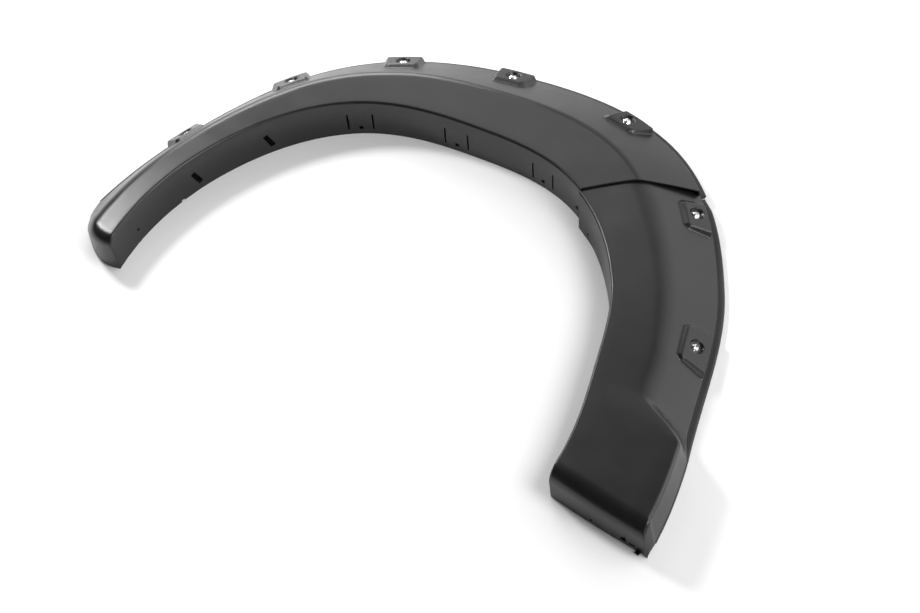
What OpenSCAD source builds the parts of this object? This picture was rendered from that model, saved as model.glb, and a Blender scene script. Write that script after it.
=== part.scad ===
// Bolt-look wheel arch trim for one front corner of a pickup: two moulded panels
// that lap at a slanted seam, rubber edge seals, socket screws on raised pads.
// The trim lies body side down on z = 0, +z points out of the car's side, +y to the
// crown of the arch and +x to the front of the car. Angles are measured at the
// wheel centre from the crown, plus toward the front. A section is drawn in a
// radial plane: u is the distance outward from the lip, z the height.

/* [Opening] */
// Radius of the lip at the rear foot
rear_foot_r = 444; // [430:1:460]
// Radius of the lip at the rear leg
rear_leg_r = 416; // [405:1:430]
// Radius of the lip at the rear shoulder
rear_shoulder_r = 407; // [396:1:420]
// Radius of the lip at the crown, where the opening is flattened
crown_r = 388; // [378:1:400]
// Radius of the lip at the front shoulder
front_shoulder_r = 412; // [402:1:424]
// Radius of the lip at the front leg
front_leg_r = 416; // [405:1:430]
// Radius of the lip at the front shin
front_shin_r = 421; // [410:1:435]
// Radius of the lip at the front foot
front_foot_r = 467; // [456:1:478]
// Angle at which the rear foot ends
rear_end_a = -101.4; // [-104:0.1:-98]
// Angle at which the front foot ends
front_end_a = 110.6; // [107:0.1:113]

/* [Face] */
// Face width at the rear foot
rear_foot_w = 101; // [92:1:112]
// Face width at the rear leg
rear_leg_w = 94; // [88:1:108]
// Face width at the rear shoulder
rear_shoulder_w = 131; // [120:1:142]
// Face width at the crown
crown_w = 171; // [158:1:184]
// Face width at the front shoulder
front_shoulder_w = 194; // [180:1:206]
// Face width at the front leg
front_leg_w = 171; // [160:1:184]
// Face width at the front shin
front_shin_w = 166; // [155:1:178]
// Face width at the front foot
front_foot_w = 186; // [176:1:198]
// Part of the face width that lies inside the bend, round the arch
bend_share = 0.515; // [0.48:0.005:0.56]
// The same part at the front shin, where the face broadens
shin_bend_share = 0.64; // [0.6:0.01:0.7]
// The same part at the front foot, where the side falls steeply
foot_bend_share = 0.88; // [0.84:0.01:0.9]

/* [Section] */
// Wall thickness of both mouldings
panel_t = 3; // [2.5:0.1:3.5]
// Height of the lip above the body
lip_h = 75; // [68:1:82]
// How far the face falls from the lip to the bend
bend_drop = 3; // [1:0.5:6]
// Height of the face at its outer edge
edge_h = 17; // [15:0.5:20]
// Radius over the lip
lip_fillet_r = 5; // [4:0.5:7]
// Radius over the bend of the main panel
bend_fillet_r = 30; // [16:1:40]
// Radius over the bend of the front panel, whose face is more evenly crowned
front_bend_fillet_r = 90; // [50:5:110]
// Radius over the outer edge
edge_fillet_r = 1.5; // [1:0.5:2]
// How far the foot of the inner wall leans into the opening, main panel
wall_lean = 7; // [4:0.5:9]
// How far the foot of the front panel's wall leans into the opening at the seam
front_wall_lean = 17; // [14:0.5:19]
// Radius that rolls the face down into the end wall of the rear foot
rear_end_r = 20; // [14:1:26]
// Radius that rolls the face down into the end wall of the front foot
front_end_r = 27; // [20:1:32]
// How far the outer corner of the rear foot is swept back, in degrees
rear_sweep_a = 9; // [6:0.5:10]
// How far the outer corner of the front foot is swept back, in degrees
front_sweep_a = 3; // [2:0.5:4]

/* [Seam] */
// Angle of the seam at the lip
seam_a = 33; // [31:0.5:35]
// Further angle that the slanted seam gains across the face
seam_slant_a = 7.1; // [5:0.1:8]
// How far the main panel's outer edge rises toward the seam
seam_lift = 8; // [4:0.5:10]
// Angle by which the end of the front panel's wall falls back from lip to foot
wall_slant_a = 2.7; // [1.5:0.1:3.5]
// Gap between the two mouldings where they lap
lap_gap = 0.5; // [0.4:0.1:0.8]
// Length of the tongue that the front panel slides under the main panel
tongue_l = 26; // [18:1:32]
// Width of the gap between the two seals at the seam
seal_gap = 6; // [3:0.5:9]

/* [Screw pads] */
// Angle of the first pad, at the rear leg
pad_1_a = -68; // [-69:0.2:-67]
// Angle of the second pad
pad_2_a = -44.4; // [-45.4:0.2:-43.4]
// Angle of the third pad
pad_3_a = -22.6; // [-23.6:0.2:-21.6]
// Angle of the fourth pad, at the crown
pad_4_a = -1.4; // [-2.4:0.2:-0.4]
// Angle of the fifth pad
pad_5_a = 21.4; // [20.4:0.2:22.4]
// Angle of the sixth pad, the first of the front panel
pad_6_a = 44.6; // [44.2:0.2:45.4]
// Angle of the seventh pad
pad_7_a = 72.4; // [71.4:0.2:73.4]
// Half length of a pad's base at the outer edge
pad_half_l = 38; // [35:1:39]
// Half length of the last pad's base at the outer edge
last_pad_half_l = 46; // [40:1:48]
// Distance from the outer edge to the inner side of a pad
pad_reach = 51; // [47:1:53]
// The same distance of the last pad
last_pad_reach = 60; // [54:1:61]
// Width of the chamfer round a pad
pad_chamfer = 9; // [7:0.5:10]
// Length of the cut corners of a pad
pad_corner = 8; // [6:0.5:9]
// Height of a pad at its inner end
pad_in_h = 6; // [4:0.5:8]
// Height of a main panel's pad at the outer edge
pad_out_h = 11; // [8:0.5:13]
// Height of a front panel's pad at the outer edge
front_pad_out_h = 8; // [6:0.5:10]
// Distance from the outer edge to the top of a pad
pad_edge = 4.5; // [4:0.5:7]
// Depth of the round recess in a pad
recess_depth = 5; // [4:0.5:6]
// Diameter of the recess at its mouth
recess_d = 26; // [24:0.5:27]
// Diameter of the recess at its floor
recess_floor_d = 21; // [20:0.5:22]

/* [Screws] */
// Diameter of the face screws' shanks
screw_d = 8; // [6:0.5:8]
// Diameter of the face screws' dome heads
head_d = 16; // [14:0.5:17]
// Height of the dome heads
head_h = 4.4; // [3.6:0.1:5]
// Width across the flats of the hexagon sockets
socket_af = 5; // [4:0.5:6]
// Clearance round a shank, on the diameter
shank_clear = 0.8; // [0.6:0.1:1]
// Thickness of the plain washers
washer_t = 1.6; // [1.2:0.1:2]
// Outer diameter of the plain washers
washer_d = 17; // [16:0.5:20]
// Width across the flats of the nuts
nut_af = 13; // [12:0.5:13.5]
// Height of the nuts
nut_h = 6.5; // [5:0.5:7]
// Diameter of the seam screw's shank
seam_screw_d = 4; // [3:0.5:5]

/* [Seals] */
// Height of the seals under the panels' edge
seal_h = 9; // [7:0.5:10]
// How far the seals stand out past the panels' edge
seal_out = 11; // [8:0.5:13]
// How far the front seal stands out at the foot
foot_seal_out = 17; // [12:0.5:19]
// How far the seals reach in under the panels' edge
seal_in = 13; // [10:0.5:15]

/* [Wall cut-outs] */
// Width of the clip slots
slot_w = 3; // [2.5:0.5:4]
// Length of the clip slots
slot_l = 35; // [30:1:38]
// Height of a clip slot's lower end above the body
slot_z = 11; // [9:0.5:14]
// Angle of the middle pair of clip slots
clip_a = -5.5; // [-6.5:0.5:-4.5]
// Angle between the pairs of clip slots
clip_pitch_a = 25.4; // [24.6:0.1:26]
// Half the distance between the two slots of a pair
clip_half_l = 22; // [18:1:26]
// Width of the square hole between a pair of slots
clip_hole_w = 6.5; // [5:0.5:8]
// Diameter of the fixing holes in the wall
fix_hole_d = 5; // [4:0.5:6]

/* [Hidden] */
$fn = 40;

station_a = [-100, -65, -32, 0, 30, 60, 85, 106];
station_r = [rear_foot_r, rear_leg_r, rear_shoulder_r, crown_r,
             front_shoulder_r, front_leg_r, front_shin_r, front_foot_r];
station_w = [rear_foot_w, rear_leg_w, rear_shoulder_w, crown_w,
             front_shoulder_w, front_leg_w, front_shin_w, front_foot_w];
station_b = [bend_share, bend_share, bend_share, bend_share,
             bend_share, bend_share, shin_bend_share, foot_bend_share];

lap = panel_t + lap_gap;
seam_gap = 0.5;
front_lip_in = 2;
rim_draft = 0.3;
ring_step_a = 3.8;
end_steps = 4;
roll_share = 0.85;
rear_bow = 2;
inner_fillet_r = 0.6;
bend_run_share = 0.22;
pad_run_share = 0.74;
lift_from_a = 26;
pad_taper = 0.55;
screw_share = 0.45;
screw_reach = 0.82;
cup_cover = 1.2;
clip_angles = [for (k = [-1:1]) clip_a + k * clip_pitch_a];
main_pads = [pad_1_a, pad_2_a, pad_3_a, pad_4_a, pad_5_a];
front_pads = [pad_6_a, pad_7_a];

// Smooth curve through the stations
function slope(xs, ys, i) = (ys[i + 1] - ys[i]) / (xs[i + 1] - xs[i]);
function inner_tangent(xs, ys, i) =
    let (h0 = xs[i] - xs[i - 1], h1 = xs[i + 1] - xs[i])
    (slope(xs, ys, i - 1) * h1 + slope(xs, ys, i) * h0) / (h0 + h1);
function tangent(xs, ys, i) =
    i == 0 ? 1.5 * slope(xs, ys, 0) - 0.5 * inner_tangent(xs, ys, 1)
    : i == len(xs) - 1 ? 1.5 * slope(xs, ys, i - 1) - 0.5 * inner_tangent(xs, ys, i - 1)
    : inner_tangent(xs, ys, i);
function span(xs, x, i = 0) = i >= len(xs) - 2 || x < xs[i + 1] ? i : span(xs, x, i + 1);
function loft(xs, ys, x) =
    let (i = span(xs, x), h = xs[i + 1] - xs[i], t = (x - xs[i]) / h, t2 = t * t, t3 = t2 * t)
    (2 * t3 - 3 * t2 + 1) * ys[i] + (t3 - 2 * t2 + t) * h * tangent(xs, ys, i)
    + (3 * t2 - 2 * t3) * ys[i + 1] + (t3 - t2) * h * tangent(xs, ys, i + 1);
function lip_r(a) = loft(station_a, station_r, a);
function face_w(a) = loft(station_a, station_w, a);
function bend_at(a) = min(foot_bend_share, loft(station_a, station_b, a));
function clamped(t) = max(0, min(1, t));
function eased(t) = let (s = clamped(t)) s * s * (3 - 2 * s);

// Plane geometry of the section
function unit(v) = v / norm(v);
function left_of(p, q) = let (d = unit(q - p)) [-d[1], d[0]];
function inset(a, b, c, t) =
    let (n = left_of(a, b), m = left_of(b, c)) b - t * (n + m) / (1 + n * m);
function fillet(a, b, c, r, n) =
    let (d = unit(a - b), e = unit(c - b), half = acos(d * e) / 2,
         o = b + unit(d + e) * r / sin(half),
         v = b + d * r / tan(half) - o, w = b + e * r / tan(half) - o, turn = 180 - 2 * half)
    [for (k = [0:n]) o + (v * sin((1 - k / n) * turn) + w * sin(k / n * turn)) / sin(turn)];

// Corners of a panel's outer skin at one angle: wall foot, lip, bend, edge, rim.
// The front panel lies lower by one lap, and its inner wall stands further in.
seam_edge_a = seam_a + seam_slant_a;
function main_corners(a) =
    let (w = face_w(a), b = bend_at(a) * w,
         lift = seam_lift * eased((a - lift_from_a) / (seam_edge_a - lift_from_a)))
    [[-wall_lean, 0], [0, lip_h], [b, lip_h - bend_drop], [w, edge_h + lift],
     [w + rim_draft, seal_h]];
seam_run = face_w(seam_edge_a) * (1 - bend_at(seam_edge_a));
front_drop = lap / cos(atan2(lip_h - bend_drop - edge_h, seam_run));
function front_lean(a) =
    front_lip_in + (front_wall_lean - front_lip_in)
        * pow(max(0, (front_end_a - a) / (front_end_a - seam_edge_a)), 2);
function front_corners(a) =
    let (w = face_w(a), b = bend_at(a) * w)
    [[-front_lean(a), 0], [-front_lip_in, lip_h - front_drop],
     [b, lip_h - bend_drop - front_drop], [w, edge_h - front_drop], [w + rim_draft, seal_h]];
function corners(a, front) = front ? front_corners(a) : main_corners(a);
function inner_corners(c) =
    let (foot = inset([c[0][0], -lip_h], c[0], c[1], 0), n = left_of(c[0], c[1]))
    [[foot[0] - panel_t / n[0], 0], inset(c[0], c[1], c[2], panel_t),
     inset(c[1], c[2], c[3], panel_t), inset(c[2], c[3], c[4], panel_t),
     c[4] - [panel_t, 0]];

// Points on the slope between bend and edge that a pad lifts, and by how much. A pad
// is its height share at one ring, and its corner is 1 where the corner is cut.
function reach_at(a) =
    pad_reach + (last_pad_reach - pad_reach) * clamped((a - pad_6_a) / (pad_7_a - pad_6_a));
function pad_stops(l, a, corner) =
    let (reach = min(reach_at(a), pad_run_share * l),
         top = reach - pad_corner * corner - pad_chamfer)
    [top + pad_chamfer, top, (top + pad_edge) / 2, pad_edge];
function pad_lifts(front) =
    let (out_h = front ? front_pad_out_h : pad_out_h)
    [0, pad_in_h, (pad_in_h + out_h) / 2, out_h];
function slope_points(c, a, pad, corner, front) =
    let (d = unit(c[2] - c[3]), n = left_of(c[2], c[3]),
         s = pad_stops(norm(c[3] - c[2]), a, corner), h = pad_lifts(front))
    [for (k = [0:3]) c[3] + d * s[k] + n * h[k] * pad];

// Radius that fits the bend, so that its arc keeps clear of the pads
function bend_r(c, r) =
    let (turn = acos(unit(c[2] - c[1]) * unit(c[3] - c[2])))
    min(r, bend_run_share * norm(c[3] - c[2]) / tan(turn / 2));

// One skin's section, the same number of points for both skins
function skin(c, ring, front, lip_fr, bend_fr, edge_fr) =
    concat([c[0]], fillet(c[0], c[1], c[2], lip_fr, 3), fillet(c[1], c[2], c[3], bend_fr, 3),
           slope_points(c, ring[1], ring[2], ring[5], front),
           fillet(c[2], c[3], c[4], edge_fr, 1), [c[4]]);
function full_bend_r(c, front) = bend_r(c, front ? front_bend_fillet_r : bend_fillet_r);
function outer_skin(c, ring, front) =
    skin(c, ring, front, lip_fillet_r, full_bend_r(c, front), edge_fillet_r);
function inner_skin(c, ring, front) =
    skin(inner_corners(c), ring, front, lip_fillet_r - panel_t + inner_fillet_r,
         full_bend_r(c, front) - panel_t, inner_fillet_r);

// A ring is [angle at the lip, angle at the edge, pad, end phase, bow, corner]. The
// phase is -1 along the arch, 0 to 1 through an end's roll-over and 2 on the body.
function place(a, u, z) = let (r = lip_r(a) + u) [r * sin(a), r * cos(a), z];
function ring_a(ring, u, w) =
    ring[0] + (ring[1] - ring[0]) * pow(clamped(u / w), ring[4]);
function arc_a(l, r) = l / r * 180 / PI;
function stretch(ring, u, w) =
    norm([1, ring[4] * (ring[1] - ring[0]) * PI / 180 * (lip_r(ring[1]) + u) / w
             * pow(clamped(u / w), ring[4] - 1)]);
function ring_point(ring, p, w, dir, end_r, back) =
    let (a = ring_a(ring, p[0], w), beta = 90 * min(1, ring[3]),
         roll = min(end_r, roll_share * p[1]),
         s = (end_r * (1 - sin(beta)) + back) * stretch(ring, p[0], w))
    ring[3] < 0 ? place(a, p[0], p[1])
    : place(a - dir * arc_a(s, lip_r(a) + p[0]), p[0],
            ring[3] > 1 ? 0 : p[1] - roll * (1 - cos(beta)));

// Rings of one pad: base, top, full width, middle, full width, top, base
function pad_rings(a, slant, half_l) =
    let (r = lip_r(a) + face_w(a), base = arc_a(half_l, r),
         top = arc_a(half_l - pad_chamfer, r), full = arc_a(half_l - pad_chamfer - pad_corner, r),
         lip = a - slant * screw_reach, edge = a + slant * (1 - screw_reach))
    [for (k = [[-base, 0, 1], [-top, 1, 1], [-full, 1, 0], [0, 1, 0], [full, 1, 0],
               [top, 1, 1], [base, 0, 1]])
        [lip + k[0] * pad_taper, edge + k[0], k[1], -1, 1, k[2]]];

// Groups of rings with plain rings filled in between them
function plain_rings(from, to) =
    let (n = ceil((to[1] - from[1]) / ring_step_a))
    [for (k = [1:1:n - 1]) from + (to - from) * k / n];
function joined(groups, i = 0) =
    i == len(groups) - 1 ? groups[i]
    : let (g = groups[i], h = groups[i + 1])
      concat(g, plain_rings(g[len(g) - 1], h[0]), joined(groups, i + 1));

// Slant of the rings, which grows to the seam's slant and runs out to the front foot
function main_slant(a) = seam_slant_a * max(0, (a - main_pads[3]) / (seam_a - main_pads[3]));
function front_slant(a) =
    seam_slant_a - (seam_slant_a + front_sweep_a) * (a - seam_a) / (front_end_a - seam_a);

// Ring where an end starts to roll over, the rings of the roll, and the one on the body
function roll_start(lip_a, edge_a, dir, end_r, bow) =
    let (w = face_w(edge_a), l = end_r * stretch([lip_a, edge_a, 0, 0, bow, 1], w, w))
    [lip_a - dir * arc_a(end_r, lip_r(lip_a)), edge_a - dir * arc_a(l, lip_r(edge_a) + w),
     0, -1, bow, 1];
function roll_rings(lip_a, edge_a, bow) =
    concat([for (k = [1:end_steps]) [lip_a, edge_a, 0, k / (end_steps + 1), bow, 1]],
           [[lip_a, edge_a, 0, 2, bow, 1]]);
function reversed(v) = [for (i = [len(v) - 1:-1:0]) v[i]];

rear_edge_a = rear_end_a + rear_sweep_a;
front_edge_a = front_end_a - front_sweep_a;
main_rings = concat(
    reversed(roll_rings(rear_end_a, rear_edge_a, rear_bow)),
    joined(concat([[roll_start(rear_end_a, rear_edge_a, -1, rear_end_r, rear_bow)]],
                  [for (a = main_pads) pad_rings(a, main_slant(a), pad_half_l)],
                  [[[seam_a, seam_edge_a, 0, -1, 1, 1]]])));
tongue_a = arc_a(tongue_l, lip_r(seam_a));
front_rings = concat(
    joined(concat([[[seam_a - tongue_a, seam_edge_a - tongue_a, 0, -1, 1, 1]]],
                  [pad_rings(pad_6_a, front_slant(pad_6_a), pad_half_l),
                   pad_rings(pad_7_a, front_slant(pad_7_a), last_pad_half_l)],
                  [[roll_start(front_end_a, front_edge_a, 1, front_end_r, 1)]])),
    roll_rings(front_end_a, front_edge_a, 1));

// Closed shell: outer skin, inner skin and the rims that join them
function quad(a, b, c, d, turned = false) =
    turned ? [[b, c, d], [b, d, a]] : [[a, b, c], [a, c, d]];
function shell_faces(n, m, turned) =
    let (o = function (i, j) i * m + j, q = function (i, j) n * m + i * m + j)
    concat(
        [for (i = [0:n - 2], j = [0:m - 2])
            each quad(o(i, j), o(i, j + 1), o(i + 1, j + 1), o(i + 1, j), turned)],
        [for (i = [0:n - 2], j = [0:m - 2])
            each quad(q(i, j), q(i + 1, j), q(i + 1, j + 1), q(i, j + 1), turned)],
        [for (i = [0:n - 2]) each quad(o(i, 0), o(i + 1, 0), q(i + 1, 0), q(i, 0))],
        [for (i = [0:n - 2])
            each quad(o(i, m - 1), q(i, m - 1), q(i + 1, m - 1), o(i + 1, m - 1))],
        [for (j = [0:m - 2]) each quad(o(0, j), q(0, j), q(0, j + 1), o(0, j + 1))],
        [for (j = [0:m - 2])
            each quad(o(n - 1, j), o(n - 1, j + 1), q(n - 1, j + 1), q(n - 1, j))]);
function skin_points(rings, front, dir, end_r, inner) =
    [for (ring = rings)
        let (w = face_w(ring[1]), c = corners(ring[1], front),
             pts = inner ? inner_skin(c, ring, front) : outer_skin(c, ring, front))
        for (p = pts)
            ring_point(ring, p, w, dir, inner ? end_r - panel_t : end_r,
                       inner ? panel_t : 0)];
module shell(rings, front, dir, end_r) {
    outer = skin_points(rings, front, dir, end_r, false);
    inner = skin_points(rings, front, dir, end_r, true);
    polyhedron(points = concat(outer, inner),
               faces = shell_faces(len(rings), len(outer) / len(rings), front), convexity = 8);
}

// Seat of a face screw: the point on top of a pad and the tilt of the pad's top
function pad_line(a, front) =
    let (p = slope_points(corners(a, front), a, 1, 0, front)) [p[1], p[3]];
module at_pad(a, front) {
    line = pad_line(a, front);
    n = left_of(line[0], line[1]);
    seat = line[0] + (line[1] - line[0]) * screw_share;
    translate(place(a, seat[0], seat[1]))
        rotate([0, 0, -a])
            rotate([-atan2(n[0], n[1]), 0, 0])
                children();
}
module at_pads(pads, front) {
    for (a = pads)
        at_pad(a, front) children();
}

// Seat on the outer face of a panel's inner wall, z pointing at the wheel. The wall
// is square to the lip, which runs off the circle where the opening is flattened.
function lip_turn(a) = atan2(lip_r(a + 0.5) - lip_r(a - 0.5), lip_r(a) * PI / 180);
module at_wall(a, z, lean) {
    translate(place(a, -lean * (1 - z / lip_h), z))
        rotate([0, 0, lip_turn(a) - a])
            rotate([90 - atan2(lean, lip_h), 0, 0])
                children();
}

// Cup behind a pad and the hole through it
floor_z = -recess_depth;
back_z = floor_z - panel_t;
module pad_cup() {
    translate([0, 0, back_z])
        cylinder(h = recess_depth + panel_t - cup_cover, d = recess_d + panel_t);
}
module pad_bore() {
    translate([0, 0, floor_z])
        cylinder(h = 2 * recess_depth, d1 = recess_floor_d, d2 = 2 * recess_d - recess_floor_d);
    translate([0, 0, back_z - panel_t])
        cylinder(h = 2 * panel_t + recess_depth, d = screw_d + shank_clear);
}

// Upright slot and square hole for the liner clips, seen from the wheel
cut_t = 5 * panel_t;
module wall_slot(a, z, w, l, lean) {
    at_wall(a, z + l / 2, lean)
        cube([w, l, cut_t], center = true);
}
module clip_cut(a) {
    for (side = [-1, 1])
        wall_slot(a + side * arc_a(clip_half_l, lip_r(a)), slot_z, slot_w, slot_l, wall_lean);
    wall_slot(a, slot_z, clip_hole_w, clip_hole_w, wall_lean);
}
module wall_hole(a, z, d, lean) {
    at_wall(a, z, lean)
        cylinder(h = cut_t, d = d, center = true);
}

// Fasteners, drawn about their own axis with z = 0 at the floor of the seat
module dome_head(d, h, af) {
    sphere_r = (d * d / 4 + h * h) / (2 * h);
    difference() {
        intersection() {
            translate([0, 0, h - sphere_r])
                sphere(r = sphere_r);
            cylinder(h = h, d = d);
        }
        translate([0, 0, h / 2])
            cylinder(h = h, d = af / cos(30), $fn = 6);
    }
}
module dome_screw(d, l, hd, hh, af) {
    dome_head(hd, hh, af);
    translate([0, 0, -l])
        cylinder(h = l, d = d);
}
module washer(d, bore, t) {
    difference() {
        cylinder(h = t, d = d);
        translate([0, 0, -t])
            cylinder(h = 3 * t, d = bore);
    }
}
module nut(af, bore, h) {
    difference() {
        cylinder(h = h, d = af / cos(30), $fn = 6);
        translate([0, 0, -h])
            cylinder(h = 3 * h, d = bore);
    }
}
thread_clear = 0.3;
screw_tail = 2.5;
screw_l = panel_t + washer_t + nut_h + screw_tail;
module face_screw() {
    color("silver")
        translate([0, 0, floor_z])
            dome_screw(screw_d, screw_l, head_d, head_h, socket_af);
}
module back_washer() {
    color("dimgray")
        translate([0, 0, back_z - washer_t])
            washer(washer_d, screw_d + thread_clear, washer_t);
}
module back_nut() {
    color("gray")
        translate([0, 0, back_z - washer_t - nut_h])
            nut(nut_af, screw_d + thread_clear, nut_h);
}
module main_face_screws() at_pads(main_pads, false) face_screw();
module front_face_screws() at_pads(front_pads, true) face_screw();
module main_washers() at_pads(main_pads, false) back_washer();
module front_washers() at_pads(front_pads, true) back_washer();
module main_nuts() at_pads(main_pads, false) back_nut();
module front_nuts() at_pads(front_pads, true) back_nut();

// Rubber seal: a flat strip under the rim with a round outer lip and a grip behind the rim
grip_h = 2;
grip_w = 2.5;
grip_clear = 0.3;
grip_u = -panel_t - grip_clear;
bead_r = 4;
bead_step = 1.2;
rim_clear = 0.4;
function seal_profile(out) =
    [[-seal_in, 0], [out - bead_r, 0], [out - bead_step, bead_step], [out, bead_r],
     [out - bead_step, 2 * bead_r - bead_step], [out - bead_r, seal_h - 2 * rim_clear],
     [1, seal_h - rim_clear], [rim_clear, seal_h], [grip_u, seal_h], [grip_u, seal_h + grip_h],
     [grip_u - grip_w, seal_h + grip_h], [grip_u - grip_w, seal_h], [-seal_in, seal_h]];
function band_faces(n, m) =
    concat([[for (j = [0:m - 1]) j]],
           [for (i = [0:n - 2], j = [0:m - 1])
               each quad(i * m + j, (i + 1) * m + j, (i + 1) * m + (j + 1) % m,
                         i * m + (j + 1) % m)],
           [[for (j = [m - 1:-1:0]) (n - 1) * m + j]]);
seal_taper = 4;
flare_a = [94, 101];
taper_a = 3;
function seal_reach(a) =
    seal_out + (foot_seal_out - seal_out) * eased((a - flare_a[0]) / (flare_a[1] - flare_a[0]));
module seal(from, to, taper) {
    n = ceil((to - from) / ring_step_a);
    points = [for (i = [0:n])
        let (a = from + (to - from) * i / n,
             out = seal_reach(a) - taper * (1 - eased((a - from) / taper_a)))
        for (p = seal_profile(out)) place(a, face_w(a) + p[0], p[1])];
    color([0.13, 0.13, 0.13])
        polyhedron(points = points, faces = band_faces(n + 1, len(seal_profile(seal_out))),
                   convexity = 6);
}
function edge_arc_a(l, a) = arc_a(l, lip_r(a) + face_w(a));
module main_edge_seal()
    seal(main_rings[end_steps + 1][1], seam_edge_a - edge_arc_a(1, seam_edge_a), 0);
module front_edge_seal()
    seal(seam_edge_a + edge_arc_a(seal_gap, seam_edge_a),
         front_rings[len(front_rings) - end_steps - 2][1], seal_taper);

// Seam screw through the main panel's wall into the tab that the front panel's wall
// carries behind it
seam_screw_a = seam_a - 0.95;
seam_screw_z = 20;
seam_seat = 0.45;
seam_screw_l = 11;
seam_head_share = [2, 0.55, 0.6];
seam_nut_af = 7;
seam_nut_h = 3.2;
tab_t = 3;
tab_gap = 0.3;
tab_back = -panel_t - tab_gap - tab_t;
tab_half_h = 9;
tab_l = [12, 34];
tab_step = 23;
tab_root = 5.8;
module seam_tab() {
    at_wall(seam_screw_a, seam_screw_z, wall_lean) {
        translate([-tab_l[0], -tab_half_h, tab_back])
            cube([tab_l[0] + tab_l[1], 2 * tab_half_h, tab_t]);
        translate([tab_step, -tab_half_h, tab_back])
            cube([tab_l[1] - tab_step, 2 * tab_half_h, tab_root - tab_back]);
    }
}
module seam_screw() {
    color([0.08, 0.08, 0.08])
        at_wall(seam_screw_a, seam_screw_z, wall_lean)
            translate([0, 0, seam_seat])
                dome_screw(seam_screw_d, seam_screw_l, seam_head_share[0] * seam_screw_d,
                           seam_head_share[1] * seam_screw_d, seam_head_share[2] * seam_screw_d);
}
module seam_nut() {
    color("gray")
        at_wall(seam_screw_a, seam_screw_z, wall_lean)
            translate([0, 0, tab_back - seam_nut_h])
                nut(seam_nut_af, seam_screw_d + thread_clear, seam_nut_h);
}

// Room for the main panel's wall and rim, cut from the tongue
tongue_in = 8;
tongue_back_a = 9;
cut_past = 40;
cut_h = 2 * lip_h;
function seam_line(u) =
    seam_a + (u < 0 ? -wall_slant_a * u / front_wall_lean
              : seam_slant_a * min(1, u / face_w(seam_edge_a)));
function seam_point(u, back) =
    let (a = seam_line(u)) place(a + arc_a(seam_gap, lip_r(a) + u) - back, u, 0);
module plan_cut(from, turn, to) {
    points = [seam_point(from, 0), seam_point(turn, 0), seam_point(to, 0),
              seam_point(to, tongue_back_a), seam_point(from, tongue_back_a)];
    translate([0, 0, -lip_h / 2])
        linear_extrude(height = cut_h)
            polygon([for (p = points) [p[0], p[1]]]);
}
module tongue_cuts() {
    w = face_w(seam_edge_a);
    plan_cut(-cut_past, 0, tongue_in);
    plan_cut(w - tongue_in, w, w + cut_past);
}

// Single slots, rear fixing hole and notch of the main panel's inner wall
single_slots = [-73.4, -53.7];
rear_fix_a = -92.4;
rear_fix_z = 27;
notch_a = -78.4;
notch_w = 7;
module main_arch_panel() {
    color([0.16, 0.16, 0.17])
        difference() {
            union() {
                shell(main_rings, false, -1, rear_end_r);
                at_pads(main_pads, false) pad_cup();
            }
            at_pads(main_pads, false) pad_bore();
            for (a = clip_angles)
                clip_cut(a);
            for (a = single_slots)
                wall_slot(a, slot_z, slot_w, slot_l, wall_lean);
            wall_hole(rear_fix_a, rear_fix_z, fix_hole_d, wall_lean);
            wall_hole(seam_screw_a, seam_screw_z, seam_screw_d + thread_clear, wall_lean);
            wall_slot(notch_a, -notch_w / 2, notch_w, notch_w, wall_lean);
        }
}

// Cut-outs of the front foot's end wall, seen square to the wall
front_fix_a = 39.6;
front_fix_z = 12;
foot_hole_u = 84;
foot_slot_u = [150, 168];
foot_slot_size = [12, 4];
foot_cut_z = 10;
foot_tab_u = 180;
foot_tab_size = [8, 2.5, 7];
foot_tab_sink = 1;
module at_foot(u, z) {
    w = face_w(front_edge_a);
    a = front_end_a - front_sweep_a * u / w;
    translate(place(a, u, z))
        rotate([0, 0, -a])
            rotate([90, 0, 90])
                children();
}
module front_arch_panel() {
    color([0.16, 0.16, 0.17])
        difference() {
            union() {
                difference() {
                    shell(front_rings, true, 1, front_end_r);
                    tongue_cuts();
                }
                at_pads(front_pads, true) pad_cup();
                seam_tab();
                at_foot(foot_tab_u, 0)
                    translate([-foot_tab_size[0] / 2, 0, -foot_tab_sink])
                        cube(foot_tab_size);
            }
            at_pads(front_pads, true) pad_bore();
            wall_hole(front_fix_a, front_fix_z, fix_hole_d, front_wall_lean);
            wall_hole(seam_screw_a, seam_screw_z, seam_screw_d + thread_clear, wall_lean);
            at_foot(foot_hole_u, foot_cut_z)
                cylinder(h = cut_t, d = fix_hole_d, center = true);
            for (u = foot_slot_u)
                at_foot(u, foot_cut_z)
                    cube([foot_slot_size[0], foot_slot_size[1], cut_t], center = true);
        }
}

main_arch_panel();
front_arch_panel();
main_edge_seal();
front_edge_seal();
main_face_screws();
front_face_screws();
main_washers();
front_washers();
main_nuts();
front_nuts();
seam_screw();
seam_nut();
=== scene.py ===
import math

import bpy
from mathutils import Matrix, Vector

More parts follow.
